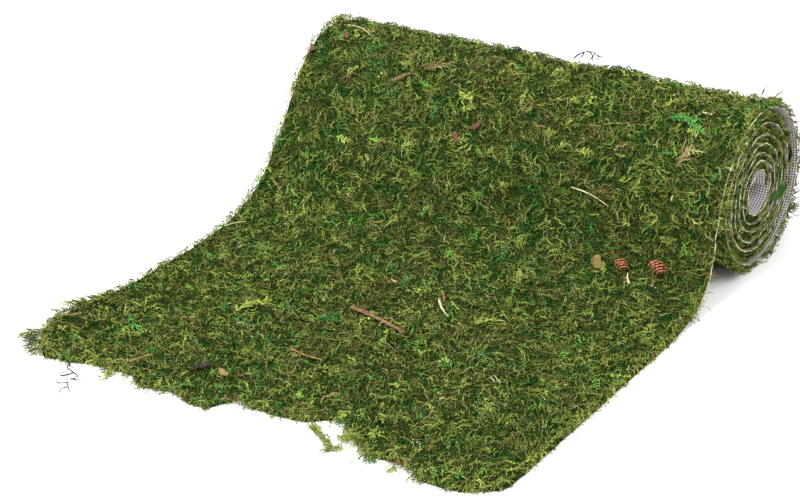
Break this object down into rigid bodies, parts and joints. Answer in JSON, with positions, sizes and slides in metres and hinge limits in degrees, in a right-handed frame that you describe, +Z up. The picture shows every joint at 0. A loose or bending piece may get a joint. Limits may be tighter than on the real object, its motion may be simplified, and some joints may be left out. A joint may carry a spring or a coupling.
{
  "type": "part-unrolled moss mat",
  "caption": "Mat of preserved sheet moss on a woven scrim backing, its far part rolled up and its near part lying flat, moss side up.",
  "frame": {"origin": "on the floor, midway between the mat's sides and midway between its front edge and the back of the roll", "axes": "+X along the roll towards the end that shows the spiral best, +Y from the flat part towards the roll, +Z up"},
  "size_m": [0.3602, 0.4102, 0.1182],
  "materials": {
    "scrim": "open plain weave, matt",
    "moss": "preserved and dyed moss shoots, matt",
    "brown_wood": "weathered",
    "bark": "rough bark",
    "leaf": "dry leaf and bud scale",
    "cone": "dry cone scales",
    "straw": "dry stalk, slight sheen",
    "rusty_straw": "dry stalk"
  },
  "bodies": {
    "root": {"backing": "scrim", "moss_layer": "moss", "twig_long": "brown_wood", "bark_chip": "bark", "twig_short": "leaf", "cone_large": "cone", "cone_small": "cone", "bud_husk": "leaf", "leaf_front": "leaf", "leaf_upper": "leaf", "leaf_lower": "leaf", "cone_stalk": "straw", "straw_rise": "straw", "straw_left": "straw", "straw_top": "straw", "straw_fork_long": "straw", "straw_fork_short": "straw", "straw_rusty": "rusty_straw", "straw_pair_near": "straw", "straw_pair_far": "straw", "straw_edge": "rusty_straw", "stem_brown": "brown_wood"}
  },
  "joints": []
}
